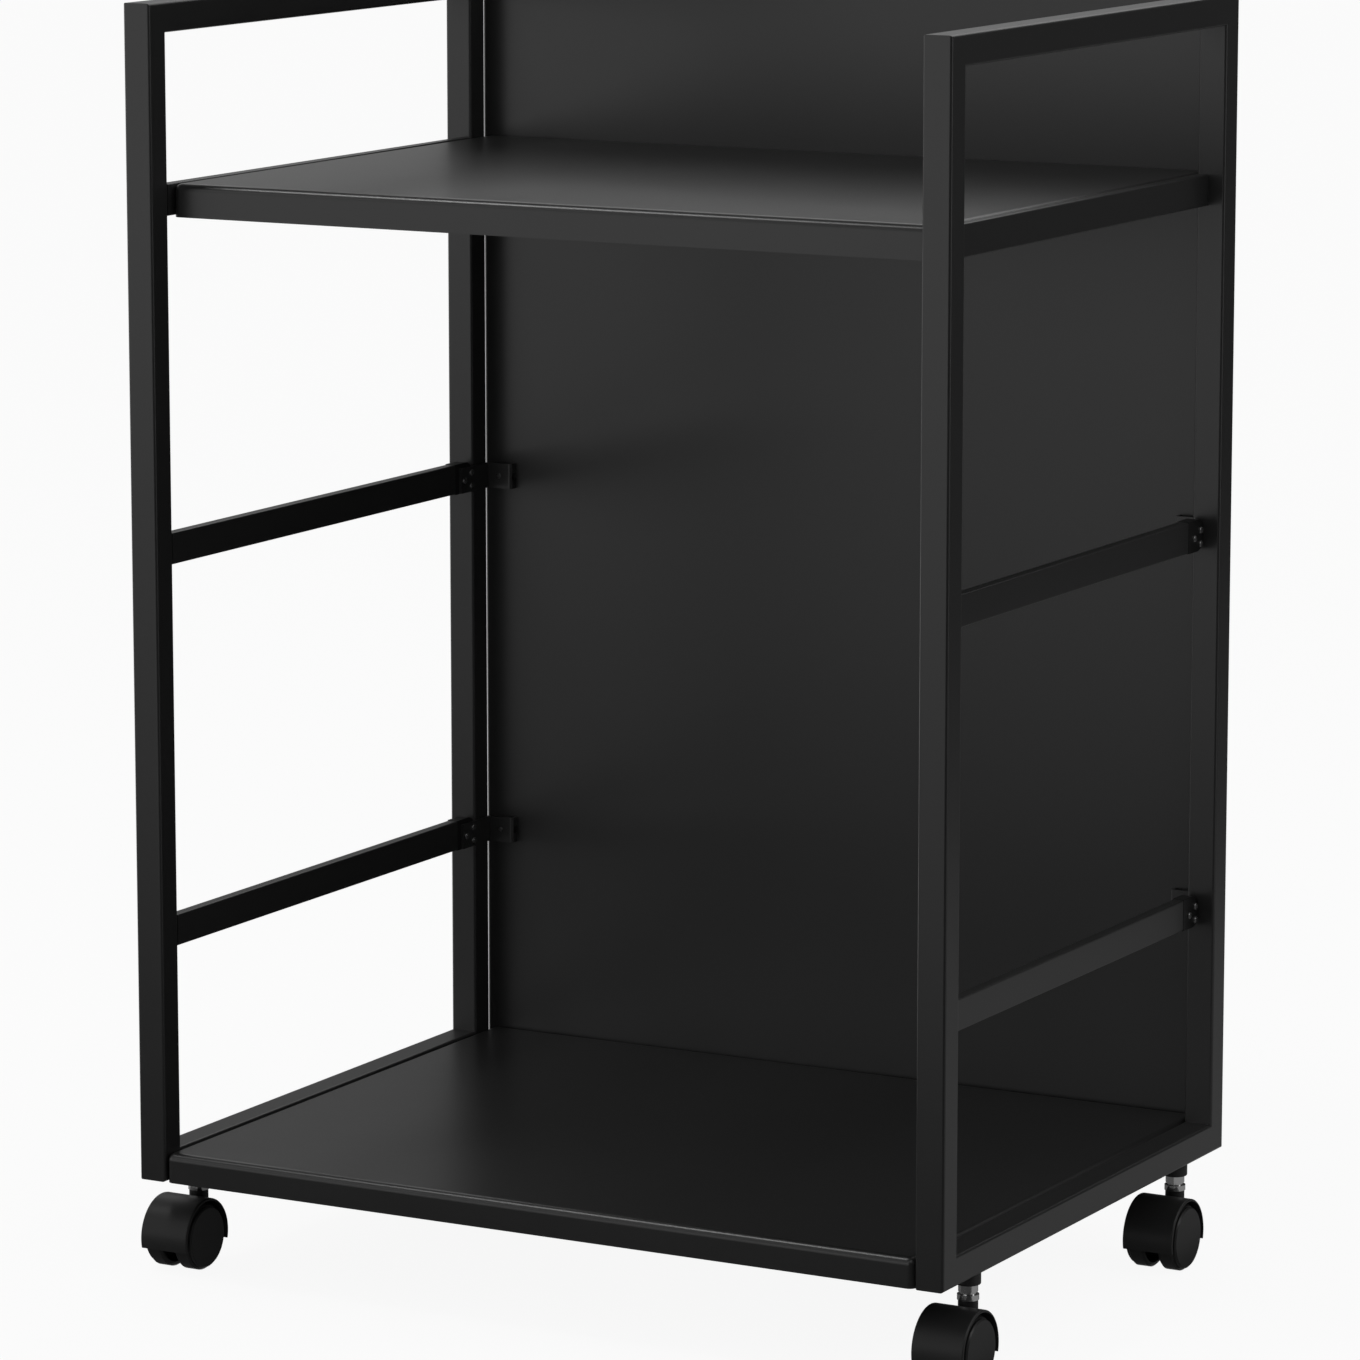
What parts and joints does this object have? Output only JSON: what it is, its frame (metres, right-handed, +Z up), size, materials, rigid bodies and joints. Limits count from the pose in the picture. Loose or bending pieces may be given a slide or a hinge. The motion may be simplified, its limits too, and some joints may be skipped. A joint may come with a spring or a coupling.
{
  "type": "storage trolley",
  "caption": "Open storage trolley of black steel: tube side frames with top-rail handles, an upper and a lower shelf, side rails, a back panel and swivelling twin-wheel casters.",
  "frame": {"origin": "on the floor, under the middle of the trolley's overall box", "axes": "+Z up; +Y to the back, where the panel is; +X to the right as seen from the front"},
  "size_m": [0.6174, 0.438, 0.853],
  "materials": {
    "black_powder_coat": "satin black powder coat",
    "dark_screws": "black oxide, semi-gloss",
    "dark_rivets": "dark, semi-gloss",
    "bright_zinc": "bright zinc plate",
    "axle_steel": "drawn bar",
    "hood_plastic": "semi-gloss moulded nylon",
    "fitting_plastic": "satin moulded nylon",
    "wheel_plastic": "satin moulded nylon"
  },
  "bodies": {
    "frame": {"back_panel": "black_powder_coat", "bracket_rivets": "dark_rivets", "front_left_caster_collar": "hood_plastic", "front_left_caster_stem": "bright_zinc", "front_right_caster_collar": "hood_plastic", "front_right_caster_stem": "bright_zinc", "left_bottom_rail": "black_powder_coat", "left_front_post": "black_powder_coat", "left_lower_bracket": "black_powder_coat", "left_lower_rail": "black_powder_coat", "left_lower_rail_end": "fitting_plastic", "left_rear_post": "black_powder_coat", "left_shelf_rail": "black_powder_coat", "left_top_rail": "black_powder_coat", "left_upper_bracket": "black_powder_coat", "left_upper_rail": "black_powder_coat", "left_upper_rail_end": "fitting_plastic", "lower_shelf": "black_powder_coat", "lower_shelf_screws": "dark_screws", "panel_screws": "dark_screws", "rear_left_caster_collar": "hood_plastic", "rear_left_caster_stem": "bright_zinc", "rear_right_caster_collar": "hood_plastic", "rear_right_caster_stem": "bright_zinc", "right_bottom_rail": "black_powder_coat", "right_front_post": "black_powder_coat", "right_lower_bracket": "black_powder_coat", "right_lower_rail": "black_powder_coat", "right_lower_rail_end": "fitting_plastic", "right_rear_post": "black_powder_coat", "right_shelf_rail": "black_powder_coat", "right_top_rail": "black_powder_coat", "right_upper_bracket": "black_powder_coat", "right_upper_rail": "black_powder_coat", "right_upper_rail_end": "fitting_plastic", "upper_shelf": "black_powder_coat", "upper_shelf_screws": "dark_screws"},
    "front_left_caster": {"front_left_caster_hood": "hood_plastic", "front_left_caster_axle": "axle_steel"},
    "front_left_caster_left_wheel": {"front_left_caster_left_wheel": "wheel_plastic"},
    "front_left_caster_right_wheel": {"front_left_caster_right_wheel": "wheel_plastic"},
    "front_right_caster": {"front_right_caster_hood": "hood_plastic", "front_right_caster_axle": "axle_steel"},
    "front_right_caster_left_wheel": {"front_right_caster_left_wheel": "wheel_plastic"},
    "front_right_caster_right_wheel": {"front_right_caster_right_wheel": "wheel_plastic"},
    "rear_left_caster": {"rear_left_caster_hood": "hood_plastic", "rear_left_caster_axle": "axle_steel"},
    "rear_left_caster_left_wheel": {"rear_left_caster_left_wheel": "wheel_plastic"},
    "rear_left_caster_right_wheel": {"rear_left_caster_right_wheel": "wheel_plastic"},
    "rear_right_caster": {"rear_right_caster_hood": "hood_plastic", "rear_right_caster_axle": "axle_steel"},
    "rear_right_caster_left_wheel": {"rear_right_caster_left_wheel": "wheel_plastic"},
    "rear_right_caster_right_wheel": {"rear_right_caster_right_wheel": "wheel_plastic"}
  },
  "joints": [
    {"name": "front_left_swivel", "type": "hinge", "parent": "frame", "child": "front_left_caster", "pos_m": [-0.29, -0.163, 0.05], "axis": [0, 0, 1], "continuous": true},
    {"name": "front_left_left_wheel_spin", "type": "hinge", "parent": "front_left_caster", "child": "front_left_caster_left_wheel", "pos_m": [-0.29, -0.181, 0.0225], "axis": [1, 0, 0], "continuous": true},
    {"name": "front_left_right_wheel_spin", "type": "hinge", "parent": "front_left_caster", "child": "front_left_caster_right_wheel", "pos_m": [-0.29, -0.181, 0.0225], "axis": [1, 0, 0], "continuous": true},
    {"name": "front_right_swivel", "type": "hinge", "parent": "frame", "child": "front_right_caster", "pos_m": [0.29, -0.163, 0.05], "axis": [0, 0, 1], "continuous": true},
    {"name": "front_right_left_wheel_spin", "type": "hinge", "parent": "front_right_caster", "child": "front_right_caster_left_wheel", "pos_m": [0.29, -0.181, 0.0225], "axis": [1, 0, 0], "continuous": true},
    {"name": "front_right_right_wheel_spin", "type": "hinge", "parent": "front_right_caster", "child": "front_right_caster_right_wheel", "pos_m": [0.29, -0.181, 0.0225], "axis": [1, 0, 0], "continuous": true},
    {"name": "rear_left_swivel", "type": "hinge", "parent": "frame", "child": "rear_left_caster", "pos_m": [-0.29, 0.153, 0.05], "axis": [0, 0, 1], "continuous": true},
    {"name": "rear_left_left_wheel_spin", "type": "hinge", "parent": "rear_left_caster", "child": "rear_left_caster_left_wheel", "pos_m": [-0.29, 0.135, 0.0225], "axis": [1, 0, 0], "continuous": true},
    {"name": "rear_left_right_wheel_spin", "type": "hinge", "parent": "rear_left_caster", "child": "rear_left_caster_right_wheel", "pos_m": [-0.29, 0.135, 0.0225], "axis": [1, 0, 0], "continuous": true},
    {"name": "rear_right_swivel", "type": "hinge", "parent": "frame", "child": "rear_right_caster", "pos_m": [0.29, 0.153, 0.05], "axis": [0, 0, 1], "continuous": true},
    {"name": "rear_right_left_wheel_spin", "type": "hinge", "parent": "rear_right_caster", "child": "rear_right_caster_left_wheel", "pos_m": [0.29, 0.135, 0.0225], "axis": [1, 0, 0], "continuous": true},
    {"name": "rear_right_right_wheel_spin", "type": "hinge", "parent": "rear_right_caster", "child": "rear_right_caster_right_wheel", "pos_m": [0.29, 0.135, 0.0225], "axis": [1, 0, 0], "continuous": true}
  ]
}
